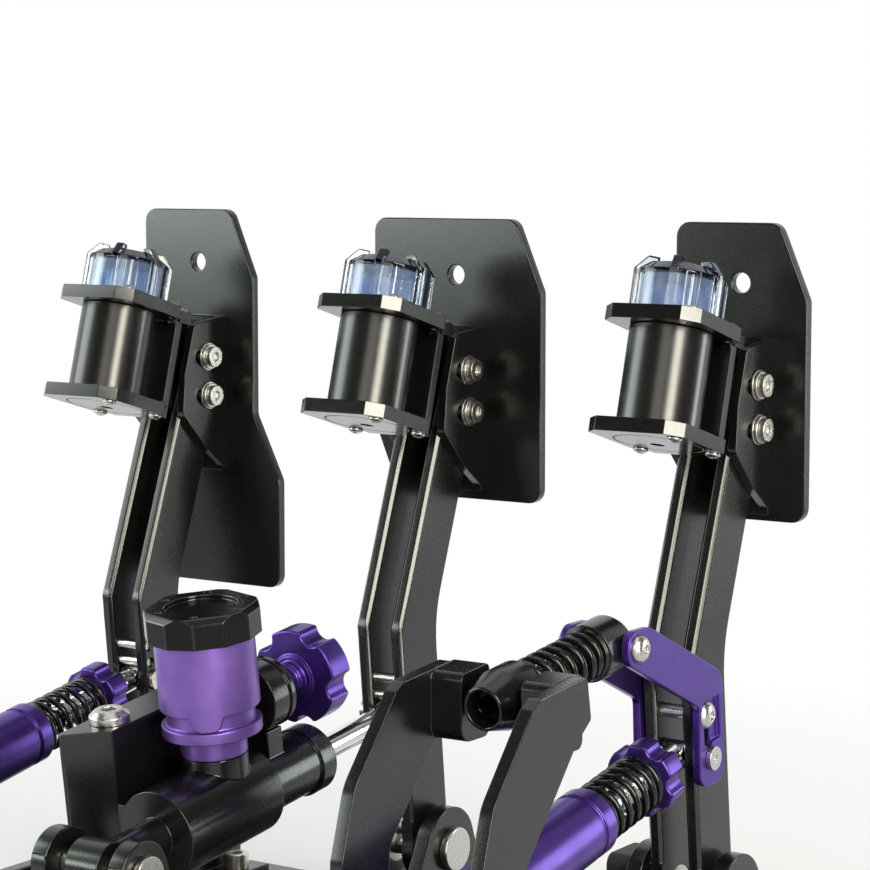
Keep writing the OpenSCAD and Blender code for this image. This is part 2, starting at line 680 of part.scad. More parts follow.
// a channel on the foot plate's back with two slotted cheeks
module plate_bracket() {
  difference() {
    union() {
      for (s = [-1, 1]) along_x(s > 0 ? arm_out : -cheek_out, cheek_t) polygon(round_points([
        [-plate_y, pivot_z + 186, 0], [-11, pivot_z + 184, 3], [-5, pivot_z + 165, 3],
        [-3.5, pivot_z + 149.5, 3], [-17, pivot_z + 136, 3], [-plate_y, pivot_z + 126, 0]]));
      translate([-cheek_out, -plate_y, pivot_z + 126]) cube([2 * cheek_out, back_t, 60]);
    }
    for (b = bolts, k = [-1, 1])
      rod_x(-cheek_out - 1, cheek_out + 1, bolt_d + 2 * screw_fit,
        b + pivot_up + [k * (cheek_slot_l - bolt_d) / 2, 0]);
    for (b = bolts) translate([0, b[0], b[1] + pivot_z])
      cube([2 * cheek_out + 2, cheek_slot_l - bolt_d, bolt_d + 2 * screw_fit], center = true);
    for (z = plate_screws) translate([0, -plate_y - 1, pivot_z + z]) rotate([-90, 0, 0])
      cylinder(d = bolt_d + 2 * screw_fit, h = back_t + 2);
  }
}
// a flanged ring that turns on the pivot axle
module bearing(s) {
  difference() {
    union() {
      rod_x(s > 0 ? arm_x : -arm_out, s > 0 ? arm_out : -arm_x, bearing_d, pivot_up);
      rod_x(s > 0 ? arm_out : -arm_out - bearing_flange, s > 0 ? arm_out + bearing_flange : -arm_out,
        bearing_d + 3, pivot_up);
    }
    rod_x(-side_in, side_in, axle_d + 2 * turn_fit, pivot_up);
  }
}
// a plain pin right through, with a round head at each end
module headed_pin(reach, d, p) {
  rod_x(-reach, reach, d, p);
  for (s = [-1, 1]) difference() {
    rod_x(s > 0 ? reach : -reach - pin_head, s > 0 ? reach + pin_head : -reach, d + 3, p);
    translate([s * (reach + pin_head), p[0], p[1]]) rotate([0, 90, 0])
      cylinder(d = d * 0.55, h = pin_head, center = true, $fn = 6);
  }
}
// bolts, washers, pins, bearings and small screws that ride on one arm
module fixings(reach, dowels) {
  for (s = [-1, 1]) {
    for (b = bolts) side_screw(s, cheek_out, b + pivot_up, bolt_head[0], bolt_head[1], bolt_d,
      cheek_out - 0.3, bolt_washer[0], bolt_washer[1]);
    bearing(s);
  }
  headed_pin(reach, rod_pin_d, [rod_pin_y, rod_pin_z]);
  for (b = dowels) rod_x(dowel_in - arm_out, arm_out - dowel_in, dowel_d, b);
  for (z = plate_screws) translate([0, -plate_y - plate_t, pivot_z + z]) rotate([-90, 0, 0]) difference() {
    union() {
      cylinder(d1 = bolt_d * 2, d2 = bolt_d, h = 2.6);
      cylinder(d = bolt_d, h = plate_t + back_t + 1.5);
    }
    translate([0, 0, -1]) cylinder(d = bolt_d * 0.6, h = 2.6, $fn = 6);
  }
  motor_frame() {
    for (c = corner_screws) {
      translate([c[0], cover_y + c[1], mb_all]) small_screw();
      translate([c[0], cover_y + c[1], 0]) rotate([180, 0, 0]) small_screw();
    }
    for (c = tab_screws) translate([c[0], c[1], mb_all]) small_screw();
  }
}
module small_screw() { dome_screw(small_head_d, 1.7, 3, mb_t - 0.4); }

// Vibration motors

module octagon(w, from, to, cut) {
  polygon([[w / 2, from + cut], [w / 2, to - cut], [w / 2 - cut, to], [cut - w / 2, to], [-w / 2, to - cut],
    [-w / 2, from + cut], [cut - w / 2, from], [w / 2 - cut, from]]);
}
// a rounded inner corner between the wall and a plate, clear of the motor
module web(s, k) {
  corner_w = mb_w / 2 - mb_cut - 8.6;
  z = k > 0 ? mb_top - web_r : mb_t;
  translate([s > 0 ? 8.6 : -8.6 - corner_w, mb_wall[1] - 0.1, 0]) difference() {
    translate([0, 0, z]) cube([corner_w, web_r + 0.1, web_r]);
    rod_x(-1, corner_w + 1, 2 * web_r, [web_r + 0.1, k > 0 ? mb_top - web_r : mb_t + web_r]);
  }
}
// two eight-sided plates, a wall between them and a neck held between the arm plates
module motor_bracket() {
  neck_x = arm_x - 0.1;
  difference() {
    union() {
      motor_frame() {
        linear_extrude(height = mb_t) octagon(mb_w, -mb_cut, mb_d, mb_cut);
        translate([0, 0, mb_top]) linear_extrude(height = mb_t) octagon(mb_w, -mb_cut, mb_d, mb_cut);
        translate([-tab_w / 2, mb_wall[0], 0]) cube([tab_w, mb_wall[1] - mb_wall[0], mb_all]);
        translate([-tab_w / 2, -tab_l, mb_top]) cube([tab_w, tab_l - 4, mb_t]);
        for (s = [-1, 1], k = [-1, 1]) web(s, k);
      }
      along_x(-neck_x, 2 * neck_x) polygon([
        [mb_y - 8.5, pivot_z + mb_h + 5], [mb_y - 15.5, pivot_z + mb_h + 33], [-14, pivot_z + mb_h + 32],
        [-24, pivot_z + mb_h + 27], [-24, pivot_z + mb_h - 1], [-12, pivot_z + mb_h - 1]]);
    }
    motor_frame() {
      translate([0, can_y, mb_top - 1]) cylinder(d = 12, h = mb_t + 2);
      for (c = corner_screws, z = [0, mb_top]) translate([c[0], cover_y + c[1], z - 1])
        cylinder(d = 3 + 2 * screw_fit, h = mb_t + 2);
      for (c = tab_screws) translate([c[0], c[1], mb_top]) cylinder(d = 3 + 2 * screw_fit, h = mb_t + 1);
      translate([cable_hole[0], cable_hole[1], -1]) cylinder(d = 4.8, h = mb_t + 2);
      translate([0, can_y - 2, -1]) difference() {
        cylinder(d = ring_d, h = 1.6);
        translate([0, 0, -1]) cylinder(d = ring_d - 1, h = 4);
      }
    }
    for (b = bolts) rod_x(-neck_x - 1, neck_x + 1, bolt_d + 2 * screw_fit, b + pivot_up);
  }
}
module motor() {
  motor_frame() translate([0, can_y, mb_t]) difference() {
    union() {
      cylinder(d = can_d, h = mb_gap);
      translate([0, 0, mb_gap - 1]) cylinder(d = 11.6, h = mb_t);
    }
    translate([0, 0, mb_gap - 14]) cylinder(d = shaft_d + 2 * turn_fit, h = mb_t + 16);
  }
}
// a round cup with a sloping shoulder, six ribs and two screw flutes
module motor_cover() {
  top = cover_h + shoulder_h;
  rib_r = cover_d / 2 + rib_out;
  motor_frame() translate([0, cover_y, mb_all]) difference() {
    union() {
      cylinder(d = cover_d, h = cover_h);
      translate([0, 0, cover_h]) cylinder(d1 = cover_d, d2 = cover_d - 2 * shoulder_w, h = shoulder_h);
      for (i = [0:5]) rotate([90, 0, rib_turn + 60 * i]) translate([0, 0, -rib_w / 2])
        linear_extrude(height = rib_w) polygon([[8.5, 0], [rib_r, 0], [rib_r, cover_h + 0.4],
          [rib_r - 3.9, top + 1.8], [8.5, top + 1.8]]);
    }
    translate([0, 0, -1]) cylinder(r = cover_in_r, h = cover_h);
    translate([0, 0, cover_h - 1.01])
      cylinder(r1 = cover_in_r, r2 = cover_in_r - shoulder_w + 0.4, h = shoulder_h + 1 - cover_wall);
    for (a = [135, 315]) rotate([0, 0, a]) translate([flute_at, 0, -1])
      cylinder(r = flute_r, h = cover_h + 0.2);
  }
}
// the motor's shaft with its half-round weight
module motor_weight() {
  motor_frame() translate([0, can_y, 0]) {
    translate([0, 0, mb_top - 12]) cylinder(d = shaft_d, h = weight_at + weight_h - mb_top + 12.6);
    translate([0, 0, weight_at]) difference() {
      union() {
        cylinder(d = 9, h = weight_h);
        cylinder(r = weight_r, h = weight_h);
      }
      difference() {
        translate([-20, 0, -1]) cube([40, 20, weight_h + 2]);
        translate([0, 0, -2]) cylinder(d = 9, h = weight_h + 4);
      }
    }
  }
}

// Spring dampers

module eye_end(w, r, d) {
  difference() {
    union() {
      rotate([0, 90, 0]) cylinder(r = r, h = w, center = true);
      children();
    }
    rotate([0, 90, 0]) cylinder(d = d, h = w + 4, center = true);
  }
}
module damper() {
  damper_frame() difference() {
    translate([0, 0, damper_len]) eye_end(11, 8, rear_pin_d + 2 * turn_fit) {
      translate([0, 0, damper_mouth - damper_len]) cylinder(d = damper_d, h = damper_l);
      translate([0, 0, damper_mouth + damper_l - damper_len - 1])
        cylinder(d = 11, h = damper_len - damper_mouth - damper_l);
    }
    translate([0, 0, damper_mouth - 1]) cylinder(d = rod_d + 2 * slide_fit, h = damper_l - 6);
    for (k = [6, 66]) translate([0, 0, damper_mouth + k]) difference() {
      cylinder(d = damper_d + 2, h = 2);
      translate([0, 0, -1]) cylinder(d = damper_d - 1.6, h = 4);
    }
  }
}
module rod(end) {
  eye_end(arm_gap - 1.1, 5, rod_pin_d + 2 * turn_fit) cylinder(d = rod_d, h = end);
}
module lobed(d, t, lobes, depth) {
  difference() {
    cylinder(d = d, h = t);
    for (i = [0:lobes - 1]) rotate([0, 0, i * 360 / lobes]) translate([d / 2 + d * 0.13 - depth, 0, -1])
      cylinder(d = d * 0.26, h = t + 2);
  }
}
module preload_knob() {
  damper_frame() translate([0, 0, knob_at]) difference() {
    union() {
      lobed(knob_d, knob_t, knob_lobes, 2.2);
      translate([0, 0, -2]) cylinder(d = 16, h = 3);
    }
    translate([0, 0, -3]) cylinder(d = rod_d + 2 * turn_fit, h = knob_t + 6);
  }
}
module damper_spring() {
  damper_frame() coil(spring_d, spring_wire, spring_from, spring_to, spring_turns);
}

// Brake cylinder

module brake_master() {
  master_frame() difference() {
    translate([0, 0, master_len]) eye_end(13, 9, rear_pin_d + 2 * turn_fit) {
      translate([0, 0, gland_at - master_len]) cylinder(d = gland_d, h = collar_l);
      translate([0, 0, gland_at + 1 - master_len])
        cylinder(d = gland_d - 2 * gland_step, h = master_at - gland_at);
      translate([0, 0, master_at - master_len]) cylinder(d = master_d, h = master_l);
      translate([0, 0, master_at + master_l - master_len - 1])
        cylinder(d = 12.6, h = master_len - master_at - master_l);
      translate([0, -7, pad_from - master_len]) cube([man_x, 14, pad_to - pad_from]);
      translate([0, 0, res_at - master_len]) rotate([90, 0, 0]) cylinder(d = 22, h = master_d / 2 + 3);
      translate([-6, -slave_up + slave_d / 2 - 1, slave_at + 2 - master_len])
        cube([12, slave_up - slave_d / 2, slave_l - 4]);
    }
    translate([0, -slave_up, slave_at - 1]) cylinder(d = slave_d, h = slave_l + 2);
    translate([0, 0, gland_at - 1]) cylinder(d = rod_d + 2 * slide_fit, h = bore_l);
  }
}
module brake_slave() {
  master_frame() translate([0, -slave_up, slave_at]) difference() {
    union() {
      cylinder(d = slave_d, h = slave_l);
      translate([0, -4, 3]) cube([man_x, 8, slave_l - 4]);
    }
    translate([0, 0, -1]) cylinder(d = hub_d + 2 * turn_fit, h = slave_l - 2);
    translate([0, 0, 2.5]) difference() {
      cylinder(d = slave_d + 2, h = 1.2);
      translate([0, 0, -1]) cylinder(d = slave_d - 1.6, h = 4);
    }
  }
}
// a fluted knob on a threaded hub that runs into the slave cylinder
module brake_star() {
  master_frame() translate([0, -slave_up, star_at]) {
    difference() {
      rotate([0, 0, star_turn]) lobed(star_d, star_t, star_lobes, 2.9);
      translate([0, 0, -1]) cylinder(d = hub_d + 3, h = 3);
    }
    translate([0, 0, star_t - 1]) cylinder(d = hub_d + 6, h = 2.2);
    translate([0, 0, star_t - 1]) cylinder(d = hub_d + 2, h = 5);
    translate([0, 0, star_t - 1]) cylinder(d = hub_d, h = star_gap + slave_l - 4);
  }
}
module brake_reservoir() {
  master_frame() translate([0, 0, res_at]) rotate([90, 0, 0]) difference() {
    union() {
      translate([0, 0, master_d / 2 + 3]) cylinder(d = 22, h = res_up - master_d / 2 - 2);
      translate([0, 0, res_up]) cylinder(d = res_d, h = res_h);
      translate([0, 0, res_up + res_h - 1]) cylinder(d = 24, h = 5);
    }
    translate([0, 0, res_up + 3]) cylinder(d = 19, h = res_h + 6);
    translate([0, 0, res_up + 4]) difference() {
      cylinder(d = res_d + 2, h = res_groove);
      translate([0, 0, -1]) cylinder(d = res_d - 2 * res_groove_depth, h = res_groove + 2);
      rotate([90, 0, tongue_turn]) translate([0, 0, -res_d]) linear_extrude(height = res_d)
        polygon(round_points([[-6, res_groove + 1, 0], [-3.6, 0.3, 2.6], [3.6, 0.3, 2.6],
          [6, res_groove + 1, 0]]));
    }
  }
}
module brake_cap() {
  cap_at = res_up + res_h + 0.1;
  master_frame() translate([0, 0, res_at]) rotate([90, 0, 0]) translate([0, 0, cap_at]) difference() {
    cylinder(d = cap_d, h = cap_h, $fn = 12);
    translate([0, 0, -1]) cylinder(d = 24 + 2 * turn_fit, h = 6);
    translate([0, 0, cap_h - 1.6]) cylinder(d = cap_d * 0.62, h = 3);
    for (i = [0:5]) rotate([0, 0, i * 60]) translate([cap_d * 0.39, 0, cap_h - 2]) cylinder(d = 2, h = 3);
    for (i = [0:5]) rotate([0, 0, i * 60 + 15]) translate([cap_d / 2 + 0.4, 0, cap_h]) rotate([0, 45, 0])
      cube([4, cap_d / 2, 4], center = true);
  }
}
// a block that joins the cylinders, with a plain top
module brake_manifold() {
  master_frame() translate([man_x, 0, 0]) difference() {
    rotate([90, 0, 0]) translate([0, 0, -8]) linear_extrude(height = man_up + 8)
      polygon([[0, man_from], [man_w, man_from], [man_w, man_to + 9],
        [man_w - 2, man_to + 9.6], [0, man_to]]);
    translate([man_w / 2, -man_up + 12, bleed_at]) rotate([90, 0, 0])
      cylinder(d = 6 + 2 * screw_fit, h = 20);
    translate([man_w / 2, -9, man_from - 1]) cylinder(d = 8 + 2 * screw_fit, h = 11);
  }
}
module brake_bleed() {
  master_frame() translate([man_x + man_w / 2, -man_up, bleed_at]) rotate([90, 0, 0]) {
    difference() {
      union() {
        translate([0, 0, -11]) cylinder(d = 6, h = 12);
        cylinder(d = 13.5, h = 2.4);
        translate([0, 0, 2.4]) cylinder(d1 = 13.5, d2 = 9.5, h = 1.8);
      }
      translate([0, 0, 1]) cylinder(d = 5.4, h = 6, $fn = 6);
    }
  }
}
module brake_sensor() {
  master_frame() translate([man_x + man_w / 2, -9, man_from]) rotate([180, 0, 0]) {
    cylinder(d = 14, h = 5, $fn = 6);
    cylinder(d = 11.5, h = 16);
    translate([0, 0, -9]) cylinder(d = 8, h = 10);
  }
}

// Clutch assist

module lever(s) {
  x = s > 0 ? arm_out : -arm_out - lever_t;
  eye = [eye_y, eye_z];
  tilt = [6.3, 0, 0];
  difference() {
    along_x(x, lever_t) polygon(round_points([
      [eye[0] + eye_r, eye[1] + eye_r - 0.6, 5], [eye[0] + eye_r, eye[1] - 4.2, 5],
      [19.5, pivot_z + 67.7, 3], [18, pivot_z + 40, 5], [1.2, pivot_z + 40, 5],
      [3.4, pivot_z + 77.1, 9], [eye[0] - 7.4, eye[1] + eye_r - 0.6, 8]]));
    rod_x(x - 1, x + lever_t + 1, rod_pin_d + 2 * screw_fit, eye);
    rod_x(x - 1, x + lever_t + 1, rod_pin_d + 2 * screw_fit, [rod_pin_y, rod_pin_z]);
    for (k = [0, -8.5]) rod_x(x - 1, x + lever_t + 1, bolt_d + 2 * screw_fit, lever_bolt + [0.11 * k, k]);
    translate([0, lever_bolt[0] - 0.47, lever_bolt[1] - 4.25]) rotate(-tilt)
      cube([3 * cheek_out, bolt_d + 2 * screw_fit, 8.5], center = true);
    translate([s * (arm_out + lever_t), lever_bolt[0] + pocket_mid[0], lever_bolt[1] + pocket_mid[1]])
      rotate(-tilt) cube([2 * lever_pocket[2], lever_pocket[0], lever_pocket[1]], center = true);
    translate([s * (arm_out + lever_t), lever_bolt[0], lever_bolt[1]]) rotate([0, 90, 0])
      cylinder(d = button[0] + 2 * screw_fit, h = 2 * lever_pocket[2], center = true);
  }
}
module tube() {
  assist_frame() difference() {
    union() {
      translate([0, 0, tube_from]) cylinder(d = assist_d, h = 2);
      translate([0, 0, tube_from + 1]) cylinder(d = tube_d, h = assist_len + 2.6 - tube_from - 1);
      translate([0, 0, assist_len + 2.6])
        cylinder(d1 = tube_d, d2 = tube_end_d, h = tube_to - assist_len - 2.6);
      for (s = [-1, 1]) translate([s * stud_from, 0, assist_len]) rotate([0, s * 90, 0])
        cylinder(d = stud_d, h = tower_in - stud_from);
    }
    translate([0, 0, tube_from - 1]) cylinder(d = plunger_d + 2 * plunger_fit, h = tube_to - tube_from + 2);
    translate([0, 0, tube_to - mouth_l]) cylinder(d = tube_end_d - 2.2, h = mouth_l + 1);
  }
}
module plunger() {
  boss_d = 2 * arm_out - 2 * end_play;
  assist_frame() difference() {
    union() {
      translate([0, 0, -6.5]) cylinder(d1 = boss_d - 8, d2 = boss_d - 3, h = 2.2);
      translate([0, 0, -4.3]) cylinder(d1 = boss_d - 3, d2 = boss_d, h = 2.8);
      translate([0, 0, -1.5]) cylinder(d = boss_d, h = seat_at + 0.5);
      translate([0, 0, seat_at - 2]) cylinder(d = assist_d, h = 2);
      cylinder(d = plunger_d, h = assist_len - 4.7);
    }
    rotate([0, 90, 0]) cylinder(d = rod_pin_d + 2 * turn_fit, h = 3 * arm_out, center = true);
  }
}

// Nodes

module throttle_arm_left() { color(black) at_pedal(throttle_x) arm_plate(-1, arm_dowels, []); }
module throttle_arm_right() { color(black) at_pedal(throttle_x) arm_plate(1, arm_dowels, []); }
module throttle_foot_plate() {
  color(black) at_pedal(throttle_x)
    foot_plate(1 - throttle_plate_w / 2, 1 + throttle_plate_w / 2, throttle_plate_h, throttle_flare,
      throttle_rise);
}
module throttle_plate_bracket() { color(black) at_pedal(throttle_x) plate_bracket(); }
module throttle_fixings() { color(steel) at_pedal(throttle_x) fixings(arm_out, arm_dowels); }
module throttle_motor_bracket() { color(satin) at_pedal(throttle_x) motor_bracket(); }
module throttle_motor() { color(gloss) at_pedal(throttle_x) motor(); }
module throttle_motor_cover() { color(clear_blue) at_pedal(throttle_x) motor_cover(); }
module throttle_motor_weight() { color(steel) at_pedal(throttle_x) motor_weight(); }
module throttle_damper() { color(purple) at_pedal(throttle_x) damper(); }
module throttle_rod() { color(chrome) at_pedal(throttle_x) damper_frame() rod(rod_end); }
module throttle_knob() { color(purple) at_pedal(throttle_x) preload_knob(); }
module throttle_spring() { color(gloss) at_pedal(throttle_x) damper_spring(); }

module brake_arm_left() { color(black) at_pedal(0) arm_plate(-1, arm_dowels, []); }
module brake_arm_right() { color(black) at_pedal(0) arm_plate(1, arm_dowels, []); }
module brake_foot_plate() {
  color(black) at_pedal(0) foot_plate(-brake_plate_w / 2, brake_plate_w / 2, brake_plate_h, 0, 0);
}
module brake_plate_bracket() { color(black) at_pedal(0) plate_bracket(); }
module brake_fixings() { color(steel) at_pedal(0) fixings(arm_out, arm_dowels); }
module brake_motor_bracket() { color(satin) at_pedal(0) motor_bracket(); }
module brake_motor() { color(gloss) at_pedal(0) motor(); }
module brake_motor_cover() { color(clear_blue) at_pedal(0) motor_cover(); }
module brake_motor_weight() { color(steel) at_pedal(0) motor_weight(); }
module master_cylinder() { color(black) at_pedal(0) brake_master(); }
module piston_rod() { color(chrome) at_pedal(0) master_frame() rod(gland_at + piston_in); }
module slave_cylinder() { color(black) at_pedal(0) brake_slave(); }
module star_knob() { color(purple) at_pedal(0) brake_star(); }
module reservoir() { color(purple) at_pedal(0) brake_reservoir(); }
module reservoir_cap() { color(black) at_pedal(0) brake_cap(); }
module manifold() { color(black) at_pedal(0) brake_manifold(); }
module bleed_screw() { color(steel) at_pedal(0) brake_bleed(); }
module pressure_sensor() { color(steel) at_pedal(0) brake_sensor(); }

module clutch_arm_left() { color(black) at_pedal(clutch_x) arm_plate(-1, [], [lever_bolt]); }
module clutch_arm_right() { color(black) at_pedal(clutch_x) arm_plate(1, [], [lever_bolt]); }
module clutch_foot_plate() {
  color(black) at_pedal(clutch_x) foot_plate(-clutch_plate_w / 2, clutch_plate_w / 2, clutch_plate_h, 0, 0);
}
module clutch_plate_bracket() { color(black) at_pedal(clutch_x) plate_bracket(); }
// a domed screw whose head stands at x and whose shank reaches the middle
module side_dome(s, x, p, d) {
  translate([s * x, p[0], p[1]]) rotate([0, s * 90, 0]) dome_screw(button[0], button[1], d, x);
}
module clutch_fixings() {
  color(steel) at_pedal(clutch_x) {
    fixings(arm_out + lever_t, []);
    for (s = [-1, 1]) {
      side_dome(s, arm_out + lever_t - lever_pocket[2], lever_bolt, bolt_d);
      side_dome(s, arm_out + lever_t, [eye_y, eye_z], rod_pin_d);
    }
  }
}
module clutch_motor_bracket() { color(satin) at_pedal(clutch_x) motor_bracket(); }
module clutch_motor() { color(gloss) at_pedal(clutch_x) motor(); }
module clutch_motor_cover() { color(clear_blue) at_pedal(clutch_x) motor_cover(); }
module clutch_motor_weight() { color(steel) at_pedal(clutch_x) motor_weight(); }
module clutch_damper() { color(purple) at_pedal(clutch_x) damper(); }
module clutch_rod() { color(chrome) at_pedal(clutch_x) damper_frame() rod(rod_end); }
module clutch_knob() { color(purple) at_pedal(clutch_x) preload_knob(); }
module clutch_spring() { color(gloss) at_pedal(clutch_x) damper_spring(); }
module clutch_lever_left() { color(purple) at_pedal(clutch_x) lever(-1); }
module clutch_lever_right() { color(purple) at_pedal(clutch_x) lever(1); }
module assist_tube() { color(black) at_pedal(clutch_x) tube(); }
module assist_plunger() { color(black) at_pedal(clutch_x) plunger(); }
module assist_spring() {
  color(gloss) at_pedal(clutch_x) assist_frame()
    coil(assist_d, assist_wire, seat_at + 0.1, tube_from - 0.1, assist_turns);
}

base_plate();
throttle_side_plates();
brake_side_plates();
clutch_side_plates();
clutch_towers();
pivot_axles();
cross_pins();
base_screws();
control_box();
angle_sensors();
throttle_arm_left();
throttle_arm_right();
throttle_foot_plate();
throttle_plate_bracket();
throttle_fixings();
throttle_motor_bracket();
throttle_motor();
throttle_motor_cover();
throttle_motor_weight();
throttle_damper();
throttle_rod();
throttle_knob();
throttle_spring();
brake_arm_left();
brake_arm_right();
brake_foot_plate();
brake_plate_bracket();
brake_fixings();
brake_motor_bracket();
brake_motor();
brake_motor_cover();
brake_motor_weight();
master_cylinder();
piston_rod();
slave_cylinder();
star_knob();
reservoir();
reservoir_cap();
manifold();
bleed_screw();
pressure_sensor();
clutch_arm_left();
clutch_arm_right();
clutch_foot_plate();
clutch_plate_bracket();
clutch_fixings();
clutch_motor_bracket();
clutch_motor();
clutch_motor_cover();
clutch_motor_weight();
clutch_damper();
clutch_rod();
clutch_knob();
clutch_spring();
clutch_lever_left();
clutch_lever_right();
assist_tube();
assist_plunger();
assist_spring();
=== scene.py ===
"""Sim racing pedal set: eased edges, finishes, springs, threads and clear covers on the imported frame.

Every piece is in metres in the frame's own axes: X to the driver's right, Y away from the driver, Z up.
"""
import json
import math

import bmesh
import bpy
from mathutils import Matrix, Vector
from mathutils.bvhtree import BVHTree


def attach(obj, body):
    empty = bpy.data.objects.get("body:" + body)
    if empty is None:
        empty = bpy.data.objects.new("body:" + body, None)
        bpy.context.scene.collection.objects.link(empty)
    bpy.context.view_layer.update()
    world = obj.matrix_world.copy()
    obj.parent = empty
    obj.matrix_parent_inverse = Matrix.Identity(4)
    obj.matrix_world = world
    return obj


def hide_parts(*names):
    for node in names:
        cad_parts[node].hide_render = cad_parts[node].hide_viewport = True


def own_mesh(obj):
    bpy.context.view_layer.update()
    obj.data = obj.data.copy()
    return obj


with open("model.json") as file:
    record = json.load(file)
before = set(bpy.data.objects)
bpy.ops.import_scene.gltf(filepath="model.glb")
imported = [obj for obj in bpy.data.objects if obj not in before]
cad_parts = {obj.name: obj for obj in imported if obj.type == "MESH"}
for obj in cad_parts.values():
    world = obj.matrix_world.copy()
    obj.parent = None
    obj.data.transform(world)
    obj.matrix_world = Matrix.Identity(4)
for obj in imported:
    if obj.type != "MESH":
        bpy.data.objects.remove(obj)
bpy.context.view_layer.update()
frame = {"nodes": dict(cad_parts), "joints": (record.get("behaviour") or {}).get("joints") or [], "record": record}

MM = 0.001
PEDALS = ("throttle", "brake", "clutch")
joint_at = {j["name"]: Vector(j["pos_m"]) for j in frame["joints"]}
joint_axis = {j["name"]: Vector(j["axis"]).normalized() for j in frame["joints"]}
body_of = {node: body for body, nodes in frame["record"]["behaviour"]["bodies"].items() for node in nodes}
slot_of = {part["node"]: part["material_slot"] for part in frame["record"]["subparts"]}


# Colour and node helpers

def srgb(code):
    """A colour written as sRGB hex, turned to linear."""
    parts = [int(code[i:i + 2], 16) / 255 for i in (1, 3, 5)]
    return [c / 12.92 if c <= 0.04045 else ((c + 0.055) / 1.055) ** 2.4 for c in parts] + [1.0]


def add(tree, kind, inputs=None, **settings):
    """One node with its settings; inputs maps a socket's name or number to a value or to another socket."""
    node = tree.nodes.new(kind)
    for name, value in settings.items():
        setattr(node, name, value)
    for key, value in (inputs or {}).items():
        if isinstance(value, bpy.types.NodeSocket):
            tree.links.new(value, node.inputs[key])
        else:
            node.inputs[key].default_value = value
    return node


def blank(name):
    """A new material with a bare Principled shader, and the object coordinates that its patterns read."""
    material = bpy.data.materials.new(name)
    material.use_nodes = True
    tree = material.node_tree
    shader = tree.nodes["Principled BSDF"]
    place = add(tree, "ShaderNodeTexCoord").outputs["Object"]
    return material, tree, shader, place


def grain(tree, place, size, detail=2.0, stretch=(1, 1, 1)):
    """Even noise whose lumps are size metres across, drawn out along an axis where stretch is above 1."""
    scale = [1 / (size * s) for s in stretch]
    spread = add(tree, "ShaderNodeMapping", {"Vector": place, "Scale": scale})
    return add(tree, "ShaderNodeTexNoise", {"Vector": spread.outputs[0], "Scale": 1.0, "Detail": detail})


def ramp(tree, value, stops):
    """A colour ramp from a value; stops are pairs of place and sRGB hex."""
    node = add(tree, "ShaderNodeValToRGB", {"Fac": value})
    while len(node.color_ramp.elements) < len(stops):
        node.color_ramp.elements.new(0.5)
    for element, (at, code) in zip(node.color_ramp.elements, stops):
        element.position = at
        element.color = srgb(code)
    return node.outputs[0]


def spread_to(tree, value, low, high):
    """A noise value between 0.3 and 0.7 spread between low and high."""
    node = add(tree, "ShaderNodeMapRange",
               {"Value": value, "From Min": 0.3, "From Max": 0.7, "To Min": low, "To Max": high})
    return node.outputs[0]


def relief(tree, shader, height, depth):
    """Bump of a real depth in metres on a shader."""
    bump = add(tree, "ShaderNodeBump", {"Height": height, "Strength": 1.0, "Distance": depth})
    tree.links.new(bump.outputs[0], shader.inputs["Normal"])


# Materials

def black_anodised(name, rough, depth, gloss):
    """Aluminium dyed black under a clear oxide: rough and grained where blasted, smoother where cut."""
    material, tree, shader, place = blank(name)
    # bead dimples are near 0.1 mm; drawn at 0.45 mm so that the grain shows
    beads = grain(tree, place, 0.45 * MM, 1.0)
    dye = grain(tree, place, 14 * MM, 3.0)
    tone = ramp(tree, dye.outputs["Fac"], [(0.3, "#0a0a0b"), (0.7, "#0f0f0f")])
    tree.links.new(tone, shader.inputs["Base Color"])
    sheen = spread_to(tree, beads.outputs["Fac"], rough - 0.04, rough + 0.04)
    tree.links.new(sheen, shader.inputs["Roughness"])
    shader.inputs["IOR"].default_value = gloss
    relief(tree, shader, beads.outputs["Fac"], depth)
    return material


def violet_anodised(name, dark, light, rough):
    """Turned aluminium dyed violet: a metal sheen with a slight waver in the dye."""
    material, tree, shader, place = blank(name)
    dye = grain(tree, place, 9 * MM, 2.0)
    # turning marks are near 0.05 mm; drawn at 0.3 mm so that they show
    marks = grain(tree, place, 0.3 * MM, 1.0, (1, 1, 6))
    tone = ramp(tree, dye.outputs["Fac"], [(0.3, dark), (0.7, light)])
    tree.links.new(tone, shader.inputs["Base Color"])
    sheen = spread_to(tree, marks.outputs["Fac"], rough - 0.05, rough + 0.05)
    tree.links.new(sheen, shader.inputs["Roughness"])
    shader.inputs["Metallic"].default_value = 0.85
    shader.inputs["Coat Weight"].default_value = 0.25
    shader.inputs["Coat Roughness"].default_value = 0.3
    relief(tree, shader, marks.outputs["Fac"], 0.01 * MM)
    return material


def stainless():
    """Stainless steel of screws, washers and pins: bright, lightly brushed metal."""
    material, tree, shader, place = blank("stainless_steel")
    brush = grain(tree, place, 0.25 * MM, 2.0, (1, 5, 1))
    tone = ramp(tree, brush.outputs["Fac"], [(0.3, "#b9b7b2"), (0.7, "#dcdad4")])
    tree.links.new(tone, shader.inputs["Base Color"])
    tree.links.new(spread_to(tree, brush.outputs["Fac"], 0.24, 0.34), shader.inputs["Roughness"])
    shader.inputs["Metallic"].default_value = 1.0
    return material


